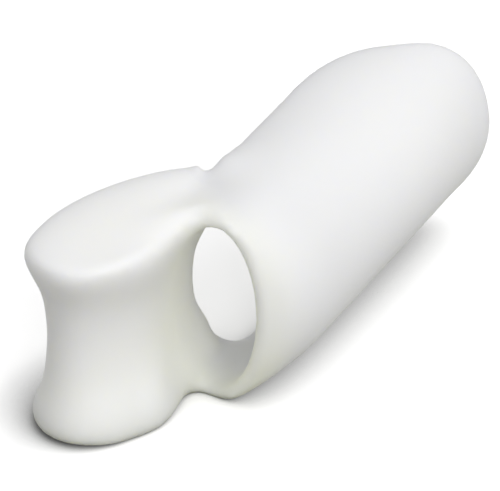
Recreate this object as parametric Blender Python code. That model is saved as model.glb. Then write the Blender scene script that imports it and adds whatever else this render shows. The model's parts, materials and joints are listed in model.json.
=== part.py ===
# Toe separator, one piece of soft white gel.
# A band goes round the toe, a spool-shaped pad keeps it from the next toe, and a
# long shield runs back from the band over the joint at the side of the foot.
# The mould is the same above and below its middle, but for the shield, which lies
# rolled a little, so the piece turned over fits the other foot.
#
# Frame: +X to the shield's outer side, +Y from the pad to the shield's tip,
# +Z up. Lengths are in metres and angles in degrees. While the form is worked
# out, the toe hole's axis is the Y axis, and the finished piece is then set on
# the ground, with the middle of its box over the origin.
import math

import bmesh
import bpy
from mathutils import Matrix, Vector

NODE_NAME = "toe_separator"

# Toe hole, an upright oval
HOLE_WIDTH = 0.0089
HOLE_HEIGHT = 0.0190

# Band round the hole, measured from the hole's middle along the toe
BAND_WALL = 0.0016
BAND_FRONT = 0.0056
BAND_BACK = 0.0026
LIP_WALL = 0.0024
LIP_FRONT = 0.0058
JOIN_WALL = 0.0026

# Pad between the toes: a spool with a leaf-shaped rim above and below its waist
PAD_TURN = 12.0
PAD_FRONT = 0.0075
PAD_BACK = -0.0004
RIM_LENGTH = 0.0249
RIM_WIDTH = 0.0124
RIM_TAPER = 0.0032
RIM_LEVEL = 0.0101
CROWN_RISE = 0.0006
WAIST_LENGTH = 0.0194
WAIST_WIDTH = 0.0086
WAIST_SETBACK = 0.0087
RIM_SHIFT_SIDE = 0.0007
RIM_SHIFT_FRONT = -0.0008

# Shield, a long open shell: half-widths and half-heights of its outer face
SHIELD_LENGTH = 0.0400
CAP_LENGTH = 0.0142
RING_REACH = 0.0049
RING_RISE = 0.0012
NECK_SIDE = 0.0107
NECK_HIGH = 0.0107
BULB_SIDE = 0.0120
BULB_HIGH = 0.0106
TIP_SIDE = 0.0085
TIP_HIGH = 0.0103
NECK_FROM_BAND = 0.0091
BULB_FROM_BAND = 0.0234
RING_LEAN = -0.0003
NECK_LEAN = -0.0008
BULB_LEAN = -0.0011
TIP_LEAN = 0.0021
RING_EDGE = 107.5
NECK_EDGE = 101.5
BULB_EDGE = 94.5
SHIELD_ROLL = 15.0
SHELL_WALL = 0.0032
RING_WALL = 0.0017
EDGE_WALL = 0.0018

# Soft gel lies flat where it meets the ground
GROUND_SINK = 0.0005

# Sections round the toe hole, as angles from its outer side over the top
BAND_ANGLES = (0.0, 28.0, 56.0, 83.0, 108.0)
PAD_ANGLES = (127.0, 140.0, 153.0, 167.0, 180.0)
SHIELD_STRIPS = 4
SHIELD_ROWS = (0.14, 0.31, 0.49, 0.67, 0.86, 1.0)

# Places of a section's points: shares of the band's depth, and shares of the
# depth at which the pad's wall ends behind the hole, from the notch to the waist
INNER_SHARES = (0.30, 0.55, 0.80)
OUTER_SHARES = (0.80, 0.55, 0.28)
PAD_BACK_SHARES = (0.95, 0.45, 0.15, 0.03, 0.0)
RIM_ANGLES = (82.0, 112.0, 146.0, 180.0, 214.0, 250.0, 294.0, 338.0)
WAIST_SHARES = (0.0, 0.0, 0.30, 0.80, 1.0)
LEVEL_SHARES = (1.0, 1.0, 0.70, 0.40, 0.0)
CORNER_INSIDE = 0.8


def hole_point(angle):
    """Place on the toe hole's oval, as X and Z."""
    return Vector((HOLE_WIDTH / 2 * math.cos(angle), HOLE_HEIGHT / 2 * math.sin(angle)))


def hole_outward(angle):
    """Direction square to the oval, away from the hole."""
    return Vector((math.cos(angle) / HOLE_WIDTH, math.sin(angle) / HOLE_HEIGHT)).normalized()


def blend_through(places, values, at):
    """Smooth curve through values that stand at the given places."""
    if at <= places[0]:
        return values[0]
    if at >= places[-1]:
        return values[-1]
    left = max(k for k in range(len(places) - 1) if places[k] <= at)
    right = left + 1
    span = places[right] - places[left]
    share = (at - places[left]) / span

    def rise(k):
        low = max(k - 1, 0)
        high = min(k + 1, len(places) - 1)
        return (values[high] - values[low]) / (places[high] - places[low]) * span

    square = share ** 2
    cube = share ** 3
    return ((2 * cube - 3 * square + 1) * values[left] + (cube - 2 * square + share) * rise(left)
            + (3 * square - 2 * cube) * values[right] + (cube - square) * rise(right))


def shield_point(across, along):
    """Outer face of the shield: across is 0 at its middle and 1 at its upper edge,
    along is 0 at the band and 1 at the tip. The grid is rounded off over the cap."""
    straight = 1 - CAP_LENGTH / SHIELD_LENGTH
    if along > straight:
        into = (along - straight) / (1 - straight)
        bent = across * math.sqrt(1 - into ** 2 / 2)
        reach = straight + (1 - straight) * into * math.sqrt(1 - across ** 2 / 2)
    else:
        bent = across
        reach = along
    places = (0.0, NECK_FROM_BAND / SHIELD_LENGTH, BULB_FROM_BAND / SHIELD_LENGTH, 1.0)
    ring_side = HOLE_WIDTH / 2 + RING_REACH - RING_LEAN
    ring_high = HOLE_HEIGHT / 2 + RING_RISE
    side = blend_through(places, (ring_side, NECK_SIDE, BULB_SIDE, TIP_SIDE), reach)
    high = blend_through(places, (ring_high, NECK_HIGH, BULB_HIGH, TIP_HIGH), reach)
    lean = blend_through(places, (RING_LEAN, NECK_LEAN, BULB_LEAN, TIP_LEAN), reach)
    edge = blend_through(places[:3], (RING_EDGE, NECK_EDGE, BULB_EDGE), reach)
    turn = math.radians(edge * bent)
    return Vector((lean + side * math.cos(turn), BAND_BACK + SHIELD_LENGTH * reach, high * math.sin(turn)))


def shield_frame(across, along):
    """A place on the shield's outer face, with the directions outward, across and along.
    Near the corner the directions are taken a little inside it, where they are clear."""
    step = 1e-3
    straight = 1 - CAP_LENGTH / SHIELD_LENGTH
    inside = straight + (1 - straight) * CORNER_INSIDE
    place = shield_point(across, along)
    if across > CORNER_INSIDE and along > inside:
        across = CORNER_INSIDE
        along = inside
    to_edge = shield_point(min(across + step, 1.0), along) - shield_point(across - step, along)
    to_tip = shield_point(across, min(along + step, 1.0)) - shield_point(across, max(along - step, 0.0))
    outward = to_tip.cross(to_edge).normalized()
    return place, outward, to_edge.normalized(), to_tip.normalized()


def shell_wall(nearness, along):
    """The shell's wall, thin at the band and towards its edges, where nearness is 1."""
    full = blend_through((0.0, BULB_FROM_BAND / SHIELD_LENGTH), (RING_WALL, SHELL_WALL), along)
    return full + (min(EDGE_WALL, full) - full) * nearness


def strip_nearness(strip):
    """How near a line along the shield is to its edge."""
    return {SHIELD_STRIPS: 1.0, SHIELD_STRIPS - 1: 0.45, SHIELD_STRIPS - 2: 0.1}.get(strip, 0.0)


def band_section(rib):
    """Section of the band at one angle: inner wall, back, outside, front lip."""
    angle = math.radians(BAND_ANGLES[rib])
    sideways = max(math.cos(angle), 0.0) ** 2
    wall = BAND_WALL + (LIP_WALL - BAND_WALL) * sideways
    if rib == SHIELD_STRIPS:
        wall = JOIN_WALL
    front = -BAND_FRONT - (LIP_FRONT - BAND_FRONT) * sideways
    depth = BAND_BACK - front
    inner = hole_point(angle)
    outward = hole_outward(angle)
    lip = inner + outward * wall
    place, facing, _, _ = shield_frame(rib / SHIELD_STRIPS, 0.0)
    back_wall = shell_wall(strip_nearness(rib), 0.0)
    back_out = Vector((place.x, place.z))
    back_in = back_out - Vector((facing.x, facing.z)) * back_wall

    def at(flat, y):
        return Vector((flat.x, y, flat.y))

    points = [at(inner.lerp(back_in, u ** 1.5), front + u * depth) for u in INNER_SHARES]
    if rib < SHIELD_STRIPS:
        points.append(at(back_in, BAND_BACK))
        points.append(at(back_in.lerp(back_out, 0.5), BAND_BACK))
        points.append(at(back_out, BAND_BACK))
    else:
        points.append(at(back_in.lerp(back_out, 0.1), BAND_BACK + 0.10 * back_wall))
        points.append(at(back_in.lerp(back_out, 0.5), BAND_BACK + 0.50 * back_wall))
        points.append(at(back_in.lerp(back_out, 1.05), BAND_BACK + 0.40 * back_wall))
    points += [at(lip.lerp(back_out, 1 - (1 - u) ** 1.6), front + u * depth) for u in OUTER_SHARES]
    points.append(at(inner + outward * wall * 0.95, front + 0.38 * wall))
    points.append(at(inner + outward * wall * 0.70, front + 0.06 * wall))
    points.append(at(inner + outward * wall * 0.32, front + 0.04 * wall))
    points.append(at(inner + outward * wall * 0.06, front + 0.36 * wall))
    return points


def leaf_point(degrees, share, level, reach=1.0):
    """Place on the pad's leaf outline, share 0 at the rim and 1 at the waist."""
    angle = math.radians(degrees)
    turn = math.radians(PAD_TURN)
    length = RIM_LENGTH + (WAIST_LENGTH - RIM_LENGTH) * share
    width = RIM_WIDTH + (WAIST_WIDTH - RIM_WIDTH) * share
    along = reach * length / 2 * math.sin(angle)
    sideways = reach * width / 2 * math.cos(angle) * (1 - RIM_TAPER / RIM_WIDTH * math.sin(angle))
    middle_x = -HOLE_WIDTH / 2 - WAIST_WIDTH / 2 + RIM_SHIFT_SIDE * (1 - share)
    middle_y = -WAIST_SETBACK - RIM_SHIFT_FRONT * (1 - share)
    return Vector((middle_x + sideways * math.cos(turn) + along * math.sin(turn),
                   middle_y - sideways * math.sin(turn) + along * math.cos(turn), level))


def pad_section(rib):
    """Section of the pad at one angle, from its crown's ridge down to its waist."""
    angle = math.radians(PAD_ANGLES[rib])
    inner = hole_point(angle)
    front = -PAD_FRONT if rib > 0 else -(PAD_FRONT + BAND_FRONT) / 2
    back = PAD_BACK + (BAND_BACK - PAD_BACK) * PAD_BACK_SHARES[rib]
    depth = back - front
    points = [Vector((inner.x, front + u * depth, inner.y)) for u in INNER_SHARES]
    hole_back = Vector((inner.x - 0.3 * BAND_WALL, back + 0.1 * BAND_WALL, inner.y))
    hole_front = Vector((inner.x, front, inner.y))
    if rib == 0:
        top = RIM_LEVEL + CROWN_RISE
        hole_back.x -= 0.8 * BAND_WALL
        hole_back.z += 0.5 * BAND_WALL
        hole_front.z += 0.2 * BAND_WALL
        points.append(hole_back)
        points.append(leaf_point(84.0, 0.0, RIM_LEVEL))
        points.append(leaf_point(88.0, 0.0, RIM_LEVEL + 0.6 * CROWN_RISE, 0.86))
        points.append(leaf_point(90.0, 0.0, top - 0.20 * CROWN_RISE, 0.58))
        points.append(leaf_point(90.0, 0.0, top, 0.14))
        points.append(leaf_point(270.0, 0.0, top, 0.30))
        points.append(leaf_point(284.0, 0.0, top - 0.25 * CROWN_RISE, 0.64))
        points.append(leaf_point(330.0, 0.0, top - 0.25 * CROWN_RISE, 0.76))
        points.append(leaf_point(6.0, 0.0, RIM_LEVEL, 0.92))
        points.append(hole_front)
        return points
    share = WAIST_SHARES[rib]
    level = RIM_LEVEL * LEVEL_SHARES[rib]
    points.append(hole_back)
    points += [leaf_point(degrees, share, level) for degrees in RIM_ANGLES]
    points.append(hole_front)
    return points


def shield_row(along):
    """Row across the shield's upper half: outer face, edge, inner face."""
    tip = along == SHIELD_ROWS[-1]
    outer = []
    inner = []
    for strip in range(SHIELD_STRIPS + 1):
        place, outward, to_edge, to_tip = shield_frame(strip / SHIELD_STRIPS, along)
        nearness = strip_nearness(strip)
        if along == SHIELD_ROWS[-2]:
            nearness = max(nearness, 0.35)
        if tip:
            nearness = 1.0
        wall = shell_wall(nearness, along)
        over = Vector()
        if strip == SHIELD_STRIPS:
            over += to_edge
        if tip:
            over += to_tip
        if over.length > 0:
            over.normalize()
        pull = over * 0.32 * wall
        outer.append((place - pull, place - outward * wall / 2))
        inner.append(place - outward * wall - pull)
    return [place for place, _ in outer], [middle for _, middle in outer], inner


def roll_share(place):
    """How much of its roll the shield has at a place: half at the band, all past its neck."""
    if place.y < BAND_BACK:
        return 0.5 * max((place.y + BAND_FRONT) / (BAND_BACK + BAND_FRONT), 0.0) ** 2
    return 0.5 + 0.5 * min((place.y - BAND_BACK) / NECK_FROM_BAND, 1.0)


def rolled(place, share):
    """A place turned about the toe hole's axis, so that the shield's upper edge leans over the foot."""
    turn = math.radians(SHIELD_ROLL * share)
    return Vector((place.x * math.cos(turn) - place.z * math.sin(turn), place.y,
                   place.x * math.sin(turn) + place.z * math.cos(turn)))


def extrude_row(mesh, row, places, closed):
    """Extrude the edges between a row's corners and set the new corners on the places."""
    pairs = list(zip(row, row[1:] + row[:1] if closed else row[1:]))
    edges = [mesh.edges.get(pair) for pair in pairs]
    made = bmesh.ops.extrude_edge_only(mesh, edges=edges)["geom"]
    fresh = {item for item in made if isinstance(item, bmesh.types.BMVert)}
    new_row = []
    for corner, place in zip(row, places):
        twin = next(edge.other_vert(corner) for edge in corner.link_edges
                    if edge.other_vert(corner) in fresh)
        twin.co = place
        new_row.append(twin)
    return new_row


def build_ring(mesh):
    """Upper half of the band and the pad: one section, extruded round the hole."""
    sections = [band_section(rib) for rib in range(len(BAND_ANGLES))]
    sections += [pad_section(rib) for rib in range(len(PAD_ANGLES))]
    row = [mesh.verts.new(place) for place in sections[0]]
    for start, end in zip(row, row[1:] + row[:1]):
        mesh.edges.new((start, end))
    ribs = [row]
    for places in sections[1:]:
        ribs.append(extrude_row(mesh, ribs[-1], places, True))
    return ribs


def open_back(mesh, ribs):
    """Take the band's back face out where the shield grows from it."""
    inner = len(INNER_SHARES)
    backs = []
    for rib in range(SHIELD_STRIPS):
        for point in (inner, inner + 1):
            corners = {ribs[rib][point], ribs[rib][point + 1], ribs[rib + 1][point], ribs[rib + 1][point + 1]}
            backs += [face for face in ribs[rib][point].link_faces if set(face.verts) == corners]
    bmesh.ops.delete(mesh, geom=backs, context="FACES")


def build_shield(mesh, ribs):
    """Upper half of the shield, extruded row by row from the band's open back."""
    inner = len(INNER_SHARES)
    starts = ribs[:SHIELD_STRIPS + 1]
    row = [rib[inner + 2] for rib in starts] + [starts[-1][inner + 1]] + [rib[inner] for rib in reversed(starts)]
    for along in SHIELD_ROWS:
        outer_places, middles, inner_places = shield_row(along)
        places = outer_places + [middles[-1]] + inner_places[::-1]
        row = extrude_row(mesh, row, places, False)
    seam = [mesh.verts.new(place) for place in middles[:-1]] + [row[SHIELD_STRIPS + 1]]
    outer = row[:SHIELD_STRIPS + 1]
    under = row[:SHIELD_STRIPS + 1:-1]
    for strip in range(SHIELD_STRIPS):
        mesh.faces.new((outer[strip], outer[strip + 1], seam[strip + 1], seam[strip]))
        mesh.faces.new((seam[strip], seam[strip + 1], under[strip + 1], under[strip]))


def skin_places(mesh):
    """Where the smooth skin passes over each corner of the cage."""
    places = []
    for corner in mesh.verts:
        count = len(corner.link_edges)
        beside = Vector()
        opposite = Vector()
        for edge in corner.link_edges:
            beside += edge.other_vert(corner).co
        for face in corner.link_faces:
            at = list(face.verts).index(corner)
            opposite += face.verts[(at + 2) % 4].co
        places.append((corner.co * count ** 2 + beside * 4 + opposite) / (count * (count + 5)))
    return places


def push_out(mesh, rounds=8):
    """Move the cage's corners out until the skin passes through their first places."""
    wanted = [corner.co.copy() for corner in mesh.verts]
    for _ in range(rounds):
        gaps = [goal - skin for goal, skin in zip(wanted, skin_places(mesh))]
        for corner, gap in zip(mesh.verts, gaps):
            corner.co += gap


def build_cage():
    """The whole cage: upper half, mirrored about the middle plane, with the shield rolled."""
    mesh = bmesh.new()
    roll = mesh.verts.layers.float.new("roll")
    ribs = build_ring(mesh)
    pad = {corner for rib in ribs[SHIELD_STRIPS + 1:] for corner in rib}
    open_back(mesh, ribs)
    build_shield(mesh, ribs)
    for corner in mesh.verts:
        if corner not in pad:
            corner[roll] = roll_share(corner.co)
    everything = mesh.verts[:] + mesh.edges[:] + mesh.faces[:]
    bmesh.ops.mirror(mesh, geom=everything, axis="Z", merge_dist=1e-6)
    bmesh.ops.remove_doubles(mesh, verts=mesh.verts, dist=1e-6)
    bmesh.ops.recalc_face_normals(mesh, faces=mesh.faces)
    for corner in mesh.verts:
        corner.co = rolled(corner.co, corner[roll])
    push_out(mesh)
    return mesh


def gel_material():
    """Soft white gel."""
    material = bpy.data.materials.new("soft_white_gel")
    material.use_nodes = True
    shader = material.node_tree.nodes["Principled BSDF"]
    shader.inputs["Base Color"].default_value = (0.84, 0.85, 0.80, 1.0)
    shader.inputs["Roughness"].default_value = 0.5
    shader.inputs["Metallic"].default_value = 0.0
    return material


def skin_box(piece):
    """Lowest and highest corners of the piece as its modifiers leave it."""
    graph = bpy.context.evaluated_depsgraph_get()
    skin = piece.evaluated_get(graph)
    corners = [vertex.co for vertex in skin.to_mesh().vertices]
    low = Vector([min(corner[axis] for corner in corners) for axis in range(3)])
    high = Vector([max(corner[axis] for corner in corners) for axis in range(3)])
    skin.to_mesh_clear()
    return low, high


def build_piece():
    """The gel piece, smooth and set on the ground."""
    cage = build_cage()
    shape = bpy.data.meshes.new(NODE_NAME)
    cage.to_mesh(shape)
    cage.free()
    piece = bpy.data.objects.new(NODE_NAME, shape)
    bpy.context.scene.collection.objects.link(piece)
    shape.materials.append(gel_material())
    smooth = piece.modifiers.new("smooth_skin", "SUBSURF")
    smooth.levels = 2
    smooth.render_levels = 2
    low, high = skin_box(piece)
    middle = (low + high) / 2
    shape.transform(Matrix.Translation((-middle.x, -middle.y, -low.z - GROUND_SINK)))
    shape.shade_smooth()
    return piece, high - low


def flatten_underside(piece, size):
    """Cut the piece level where it rests on the ground."""
    bpy.ops.mesh.primitive_cube_add(size=1.0, location=(0.0, 0.0, -size.z / 2))
    ground = bpy.context.object
    ground.name = "ground_cutter"
    ground.scale = (size.x * 2, size.y * 2, size.z)
    ground.hide_render = True
    ground.display_type = "WIRE"
    cut = piece.modifiers.new("level_underside", "BOOLEAN")
    cut.operation = "DIFFERENCE"
    cut.solver = "EXACT"
    cut.object = ground


for leftover in list(bpy.data.objects):
    bpy.data.objects.remove(leftover, do_unlink=True)

gel_piece, piece_size = build_piece()
flatten_underside(gel_piece, piece_size)
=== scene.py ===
# Toe separator: one piece of soft white gel, on a plain white table
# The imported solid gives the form, and this script gives it its skin, its finish and its light
import json
import math

import bpy
from mathutils import Matrix, Vector
from mathutils.bvhtree import BVHTree

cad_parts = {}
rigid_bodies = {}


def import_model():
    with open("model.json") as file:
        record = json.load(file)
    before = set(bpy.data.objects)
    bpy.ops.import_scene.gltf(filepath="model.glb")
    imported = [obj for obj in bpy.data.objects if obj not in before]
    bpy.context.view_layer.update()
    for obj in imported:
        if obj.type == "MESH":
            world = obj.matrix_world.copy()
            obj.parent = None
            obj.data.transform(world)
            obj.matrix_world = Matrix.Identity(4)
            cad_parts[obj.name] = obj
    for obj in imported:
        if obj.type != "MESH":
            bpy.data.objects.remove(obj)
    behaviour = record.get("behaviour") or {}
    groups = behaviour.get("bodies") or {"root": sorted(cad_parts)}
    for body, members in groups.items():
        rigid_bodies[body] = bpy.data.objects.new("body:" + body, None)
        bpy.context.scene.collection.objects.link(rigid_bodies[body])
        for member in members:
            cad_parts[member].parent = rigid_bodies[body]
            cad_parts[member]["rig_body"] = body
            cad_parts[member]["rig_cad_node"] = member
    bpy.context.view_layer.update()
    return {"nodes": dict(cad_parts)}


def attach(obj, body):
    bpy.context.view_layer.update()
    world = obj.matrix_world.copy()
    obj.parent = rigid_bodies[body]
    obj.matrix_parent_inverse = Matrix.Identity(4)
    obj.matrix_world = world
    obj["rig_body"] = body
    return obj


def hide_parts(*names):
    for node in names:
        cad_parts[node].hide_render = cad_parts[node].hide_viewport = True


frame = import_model()
print("frame loaded")


def deselectAll():
    for item in bpy.context.selected_objects:
        item.select_set(False)


def makeActive(item):
    deselectAll()
    item.select_set(True)
    bpy.context.view_layer.objects.active = item


def applyModifier(item, name, kind, **settings):
    makeActive(item)
    modifier = item.modifiers.new(name, kind)
    for key, value in settings.items():
        setattr(modifier, key, value)
    bpy.ops.object.modifier_apply(modifier=modifier.name)


def hexColour(text):
    # sRGB hex to the linear colour that a shader takes
    channels = [int(text[k:k + 2], 16) / 255 for k in (0, 2, 4)]
    linear = [c / 12.92 if c <= 0.04045 else ((c + 0.055) / 1.055) ** 2.4 for c in channels]
    return (*linear, 1.0)


def addNode(tree, kind, values=None, links=None, **settings):
    # values go on the node's own sockets, links come from other nodes' sockets
    node = tree.nodes.new(kind)
    for key, value in settings.items():
        setattr(node, key, value)
    for socket, value in (values or {}).items():
        node.inputs[socket].default_value = value
    for socket, source in (links or {}).items():
        tree.links.new(source, node.inputs[socket])
    return node


# the camera stands in front of the toe hole, to its right and above it, and these are metres,
# degrees and the lens's millimetres, fitted to the photo's outline
cameraSet = {
    "holeCentre": (0.0024, -0.01114, 0.01067),
    "azimuth": 25.7,
    "elevation": 31.71,
    "roll": 0.46,
    "distance": 0.33935,
    "slideRight": 0.00136,
    "slideUp": 0.00398,
    "lens": 239.1,
    "sensor": 36.0,
    "clipStart": 0.01,
    "clipEnd": 20.0,
}


def viewAxes(azimuth, elevation, roll=0.0):
    # right, up and back of a view from that side
    a, e, r = (math.radians(angle) for angle in (azimuth, elevation, roll))
    right = Vector((math.cos(a), math.sin(a), 0.0))
    up = Vector((-math.sin(a) * math.sin(e), math.cos(a) * math.sin(e), math.cos(e)))
    back = Vector((math.sin(a) * math.cos(e), -math.cos(a) * math.cos(e), math.sin(e)))
    return right * math.cos(r) + up * math.sin(r), up * math.cos(r) - right * math.sin(r), back


def makeCamera():
    s = cameraSet
    right, up, back = viewAxes(s["azimuth"], s["elevation"], s["roll"])
    data = bpy.data.cameras.new("photoCamera")
    data.lens = s["lens"]
    data.sensor_width = s["sensor"]
    data.clip_start = s["clipStart"]
    data.clip_end = s["clipEnd"]
    camera = bpy.data.objects.new("photoCamera", data)
    bpy.context.scene.collection.objects.link(camera)
    place = Vector(s["holeCentre"]) + back * s["distance"]
    place += right * s["slideRight"] + up * s["slideUp"]
    turn = Matrix((right, up, back)).transposed().to_4x4()
    camera.matrix_world = Matrix.Translation(place) @ turn
    bpy.context.scene.camera = camera


makeCamera()
print("camera set")

# the gel is cast in a polished mould, so its skin is one smooth surface with soft edges
gelSet = {
    "mergeDistance": 0.000001,
    "skinCell": 0.00035,
    "softenFactor": 0.5,
    "softenTimes": 10,
    # softer where the pad, the band and the shield flow together: middle, reach and rounds
    "softZones": {
        "padCrown": ((-0.0020, -0.0220, 0.0212), 0.0090, 120),
        "leafTip": ((-0.0027, -0.0065, 0.0206), 0.0060, 35),
        "underJoin": ((0.0009, -0.0164, 0.0006), 0.0040, 40),
    },
    # small pulls that bring the skin to the photo's outline: place, shift and reach
    "swells": {
        "shieldNeck": ((-0.0025, -0.0046, 0.0203), (-0.00030, 0.0, 0.00060), 0.0056),
        "neckNotch": ((-0.0027, -0.0060, 0.0206), (-0.00015, 0.0, 0.00058), 0.0032),
        "holeTop": ((0.0013, -0.0155, 0.0192), (-0.00010, 0.0, -0.00045), 0.0028),
        "shieldTop": ((-0.0001, 0.0170, 0.0209), (-0.00030, 0.0, 0.00036), 0.0110),
        "shieldTip": ((0.0089, 0.0294, 0.0193), (0.00020, 0.00020, 0.00008), 0.0080),
        "leafTip": ((-0.0032, -0.0073, 0.0214), (-0.00030, -0.00035, -0.00055), 0.0034),
        "padCrown": ((-0.0085, -0.0180, 0.0212), (-0.00005, 0.0, 0.00012), 0.0130),
        "padRim": ((-0.0118, -0.0283, 0.0190), (-0.00035, -0.00015, -0.00010), 0.0050),
        "padFoot": ((-0.0002, -0.0223, 0.0006), (0.00065, -0.00045, 0.0), 0.0055),
        "bandFoot": ((0.0009, -0.0164, 0.0005), (0.0, -0.00010, -0.00050), 0.0035),
    },
}


def softenZone(piece, name, middle, reach, rounds):
    # full softening at the middle, none past the reach
    zone = piece.vertex_groups.new(name=name)
    for vertex in piece.data.vertices:
        share = 1 - (vertex.co - middle).length / reach
        if share > 0:
            zone.add([vertex.index], share * share * (3 - 2 * share), "REPLACE")
    applyModifier(piece, name, "SMOOTH", factor=gelSet["softenFactor"], iterations=rounds,
                  vertex_group=name)
    piece.vertex_groups.clear()


def pullSkin(piece, place, shift, reach):
    # the nearest point is moved, and the skin round it follows with a smooth fall-off
    gaps = [(vertex.co - place).length for vertex in piece.data.vertices]
    makeActive(piece)
    bpy.ops.object.mode_set(mode="EDIT")
    bpy.ops.mesh.select_all(action="DESELECT")
    bpy.ops.object.mode_set(mode="OBJECT")
    piece.data.vertices[gaps.index(min(gaps))].select = True
    bpy.ops.object.mode_set(mode="EDIT")
    bpy.ops.transform.translate(value=shift, use_proportional_edit=True,
                                proportional_edit_falloff="SMOOTH", proportional_size=reach)
    bpy.ops.object.mode_set(mode="OBJECT")


def makeGelPiece():
    makeActive(frame["nodes"]["toe_separator"])
    bpy.ops.object.duplicate()
    piece = bpy.context.object
    piece.name = "toeSeparatorGel"
    piece.data.name = "toeSeparatorGel"
    piece.parent = None
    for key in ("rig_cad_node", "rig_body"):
        del piece[key]
    bpy.ops.object.mode_set(mode="EDIT")
    bpy.ops.mesh.select_all(action="SELECT")
    bpy.ops.mesh.remove_doubles(threshold=gelSet["mergeDistance"])
    bpy.ops.object.mode_set(mode="OBJECT")
    applyModifier(piece, "evenSkin", "REMESH", mode="VOXEL", voxel_size=gelSet["skinCell"])
    applyModifier(piece, "softEdges", "SMOOTH", factor=gelSet["softenFactor"],
                  iterations=gelSet["softenTimes"])
    for place, shift, reach in gelSet["swells"].values():
        pullSkin(piece, Vector(place), shift, reach)
    for name, (middle, reach, rounds) in gelSet["softZones"].items():
        softenZone(piece, name, Vector(middle), reach, rounds)
    # no pull reaches into the table
    for vertex in piece.data.vertices:
        vertex.co.z = max(vertex.co.z, 0.0)
    bpy.ops.object.shade_smooth()
    markThinWalls(piece)
    return piece


# tintEnd and tintFull are places along the piece's length, where the painted shade tint falls off
# and where it is full, and the dusted skin's real grain is too fine to show at this size, so it is
# drawn 0.5 mm wide
gelLook = {
    "open": "f4f4f2",
    # painted shade: the yellow-green of shaded hollows and of light through thin walls, not the
    # gel's own colour
    "paintedShadeTint": "f2f4d8",
    "shadeReach": 0.012,
    "shadeSamples": 16,
    "farShade": 0.35,
    "tintEnd": -0.0125,
    "tintFull": -0.0172,
    "thickWall": 0.0060,
    "thinWall": 0.0018,
    "thinShare": 0.4,
    "thinRounds": 12,
    "rayStart": 0.0001,
    "roughness": 0.52,
    "ior": 1.41,
    "scatter": 0.60,
    "scatterDepth": 0.006,
    "scatterSpread": (1.0, 0.97, 0.75),
    "grain": 0.0005,
    "grainDetail": 3.0,
    "grainHeight": 0.00002,
    "grainStrength": 0.3,
}


def markThinWalls(piece):
    # 1 on the thin walls of the pad and the band, 0 on thick gel and along the shield: the mask of
    # the painted tint for light through thin walls
    s = gelLook
    mesh = piece.data
    places = [vertex.co for vertex in mesh.vertices]
    tree = BVHTree.FromPolygons(places, [face.vertices for face in mesh.polygons])
    thin = []
    for vertex in mesh.vertices:
        inward = -vertex.normal
        start = vertex.co + inward * s["rayStart"]
        wall = tree.ray_cast(start, inward, s["thickWall"])[3] or s["thickWall"]
        slim = (s["thickWall"] - wall) / (s["thickWall"] - s["thinWall"])
        near = (s["tintEnd"] - vertex.co.y) / (s["tintEnd"] - s["tintFull"])
        thin.append(min(max(slim, 0.0), 1.0) * min(max(near, 0.0), 1.0))
    for _ in range(s["thinRounds"]):
        total = [0.0] * len(thin)
        count = [0] * len(thin)
        for edge in mesh.edges:
            a, b = edge.vertices
            total[a] += thin[b]
            total[b] += thin[a]
            count[a] += 1
            count[b] += 1
        thin = [(own + around / max(n, 1)) / 2
                for own, around, n in zip(thin, total, count)]
    mesh.attributes.new("thinWall", "FLOAT", "POINT").data.foreach_set("value", thin)


def colourOutput(node):
    # a Mix node has one output for each kind of data, and this is the colour
    return next(output for output in node.outputs if output.type == "RGBA")


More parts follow.
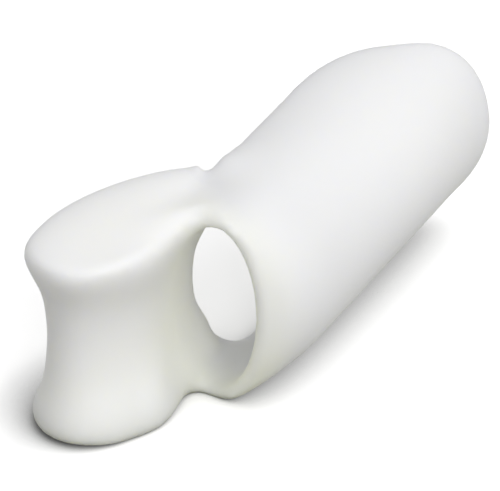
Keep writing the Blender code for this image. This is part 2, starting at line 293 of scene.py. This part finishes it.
def siliconeGel():
    # cast silicone gel, dusted so that it isn't tacky: milky white, matte and a little
    # translucent;
    # a pale yellow-green is painted in, as painted shade in the hollows and as painted
    # through-light on thin walls
    s = gelLook
    material = bpy.data.materials.new("castSiliconeGel")
    material.use_nodes = True
    tree = material.node_tree
    tree.nodes.clear()
    place = addNode(tree, "ShaderNodeTexCoord")
    # painted shade: the tint grows with the thin walls, as painted light through them, and with
    # the shade of the hollows, most near the pad
    shut = addNode(tree, "ShaderNodeAmbientOcclusion", {"Distance": s["shadeReach"]},
                   samples=s["shadeSamples"])
    thin = addNode(tree, "ShaderNodeAttribute", attribute_name="thinWall")
    split = addNode(tree, "ShaderNodeSeparateXYZ", links={"Vector": place.outputs["Object"]})
    nearPad = addNode(tree, "ShaderNodeMapRange", {
        "From Min": s["tintEnd"],
        "From Max": s["tintFull"],
        "To Min": s["farShade"],
        "To Max": 1.0,
    }, {"Value": split.outputs["Y"]})
    shade = addNode(tree, "ShaderNodeMath", {0: 1.0}, {1: shut.outputs["AO"]},
                    operation="SUBTRACT")
    padShade = addNode(tree, "ShaderNodeMath",
                       links={0: shade.outputs[0], 1: nearPad.outputs["Result"]},
                       operation="MULTIPLY")
    thinShade = addNode(tree, "ShaderNodeMath", {1: s["thinShare"]}, {0: thin.outputs["Fac"]},
                        operation="MULTIPLY")
    both = addNode(tree, "ShaderNodeMath",
                   links={0: thinShade.outputs[0], 1: padShade.outputs[0]}, operation="ADD")
    plain = addNode(tree, "ShaderNodeMath", {0: 1.0}, {1: both.outputs[0]},
                    operation="SUBTRACT", use_clamp=True)
    # painted shade: the gel's own colour turns towards the painted yellow-green
    tint = addNode(tree, "ShaderNodeMix", {"A": hexColour(s["paintedShadeTint"]), "B": hexColour(s["open"])},
                   {"Factor": plain.outputs[0]}, data_type="RGBA")
    grain = addNode(tree, "ShaderNodeTexNoise",
                    {"Scale": 1 / s["grain"], "Detail": s["grainDetail"]},
                    {"Vector": place.outputs["Object"]})
    bump = addNode(tree, "ShaderNodeBump",
                   {"Strength": s["grainStrength"], "Distance": s["grainHeight"]},
                   {"Height": grain.outputs["Fac"]})
    shader = addNode(tree, "ShaderNodeBsdfPrincipled", {
        "Roughness": s["roughness"],
        "IOR": s["ior"],
        "Subsurface Weight": s["scatter"],
        "Subsurface Radius": s["scatterSpread"],
        "Subsurface Scale": s["scatterDepth"],
    }, {"Base Color": colourOutput(tint), "Normal": bump.outputs["Normal"]})
    addNode(tree, "ShaderNodeOutputMaterial", links={"Surface": shader.outputs["BSDF"]})
    return material


gelPiece = makeGelPiece()
gelPiece.data.materials.clear()
gelPiece.data.materials.append(siliconeGel())
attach(gelPiece, "root")
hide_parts("toe_separator")
print("gel piece made, with", len(gelPiece.data.polygons), "faces")

# the painted shade on the table lies to the piece's left, so each spot looks for the piece to
# its right, and shadeFull and shadeNone say how open it is at full shade and where the shade ends
tableSet = {
    "size": 6.0,
    "colour": "646464",
    "seenColour": "f6f6f6",
    "shadeColour": "4c4c4c",
    "shadeReach": 0.009,
    "shadeSide": (0.60, 0.20, 0.77),
    "shadeSamples": 16,
    "shadeFull": 0.20,
    "shadeNone": 0.86,
    "whiteLift": 0.43,
}


def whiteTable():
    # matte white paper: what the camera and reflections see is lifted to plain white, and the
    # light that the table gives back to the piece stays plain
    s = tableSet
    material = bpy.data.materials.new("whitePaper")
    material.use_nodes = True
    tree = material.node_tree
    tree.nodes.clear()
    matte = addNode(tree, "ShaderNodeBsdfDiffuse", {"Color": hexColour(s["colour"])})
    # painted shadow: what is seen darkens towards shadeColour where the piece closes a spot in
    side = addNode(tree, "ShaderNodeCombineXYZ", dict(zip("XYZ", s["shadeSide"])))
    openness = addNode(tree, "ShaderNodeAmbientOcclusion", {"Distance": s["shadeReach"]},
                       {"Normal": side.outputs["Vector"]}, samples=s["shadeSamples"])
    share = addNode(tree, "ShaderNodeMapRange",
                    {"From Min": s["shadeFull"], "From Max": s["shadeNone"]},
                    {"Value": openness.outputs["AO"]})
    shadow = addNode(tree, "ShaderNodeMix",
                     {"A": hexColour(s["shadeColour"]), "B": hexColour(s["seenColour"])},
                     {"Factor": share.outputs["Result"]}, data_type="RGBA")
    paper = addNode(tree, "ShaderNodeBsdfDiffuse", links={"Color": colourOutput(shadow)})
    lift = addNode(tree, "ShaderNodeEmission", {"Strength": s["whiteLift"]},
                   {"Color": colourOutput(shadow)})
    lifted = addNode(tree, "ShaderNodeAddShader")
    tree.links.new(paper.outputs["BSDF"], lifted.inputs[0])
    tree.links.new(lift.outputs["Emission"], lifted.inputs[1])
    seen = seenDirectly(tree)
    choose = addNode(tree, "ShaderNodeMixShader")
    tree.links.new(seen, choose.inputs[0])
    tree.links.new(matte.outputs["BSDF"], choose.inputs[1])
    tree.links.new(lifted.outputs["Shader"], choose.inputs[2])
    addNode(tree, "ShaderNodeOutputMaterial", links={"Surface": choose.outputs["Shader"]})
    return material


def seenDirectly(tree):
    # 1 for what the camera, a reflection or a look through something clear sees
    path = addNode(tree, "ShaderNodeLightPath")
    either = addNode(tree, "ShaderNodeMath",
                     links={0: path.outputs["Is Camera Ray"], 1: path.outputs["Is Glossy Ray"]},
                     operation="MAXIMUM")
    seen = addNode(tree, "ShaderNodeMath",
                   links={0: either.outputs[0], 1: path.outputs["Is Transmission Ray"]},
                   operation="MAXIMUM")
    return seen.outputs[0]


deselectAll()
bpy.ops.mesh.primitive_plane_add(size=tableSet["size"], location=(0.0, 0.0, 0.0))
table = bpy.context.object
table.name = "table"
table.data.materials.append(whiteTable())

# two broad lamps from the right and one from behind, all aimed at the origin
lampSet = {
    "front": {"azimuth": 38.0, "elevation": 30.0, "distance": 0.70, "size": 0.50, "level": 0.29},
    "side": {"azimuth": 72.0, "elevation": 35.0, "distance": 0.70, "size": 0.50, "level": 0.25},
    "back": {"azimuth": 135.0, "elevation": 58.0, "distance": 0.70, "size": 0.24, "level": 0.08},
}
worldSet = {"lightLevel": 0.60, "seenLevel": 1.0, "colour": "ffffff"}


def makeLamp(name, s):
    # level 1 alone would show a white card that faces the lamp as white
    _, _, back = viewAxes(s["azimuth"], s["elevation"])
    data = bpy.data.lights.new(name, "AREA")
    data.shape = "DISK"
    data.size = s["size"]
    data.energy = s["level"] * (math.pi * s["distance"]) ** 2
    lamp = bpy.data.objects.new(name, data)
    bpy.context.scene.collection.objects.link(lamp)
    lamp.location = back * s["distance"]
    lamp.rotation_euler = back.to_track_quat("Z", "Y").to_euler()


for lampName, lampValues in lampSet.items():
    makeLamp(lampName + "Lamp", lampValues)


def makeWorld():
    # plain white studio: strength 1 where it is seen, a plain level where it lights
    world = bpy.data.worlds.new("whiteStudio")
    bpy.context.scene.world = world
    world.use_nodes = True
    tree = world.node_tree
    tree.nodes.clear()
    light = addNode(tree, "ShaderNodeBackground", {"Strength": worldSet["lightLevel"]})
    white = addNode(tree, "ShaderNodeBackground", {"Strength": worldSet["seenLevel"]})
    for background in (light, white):
        background.inputs["Color"].default_value = hexColour(worldSet["colour"])
    choose = addNode(tree, "ShaderNodeMixShader")
    tree.links.new(seenDirectly(tree), choose.inputs[0])
    tree.links.new(light.outputs["Background"], choose.inputs[1])
    tree.links.new(white.outputs["Background"], choose.inputs[2])
    addNode(tree, "ShaderNodeOutputWorld", links={"Surface": choose.outputs["Shader"]})


makeWorld()
bpy.context.scene.view_settings.view_transform = "Standard"
print("table, lamps and world set")
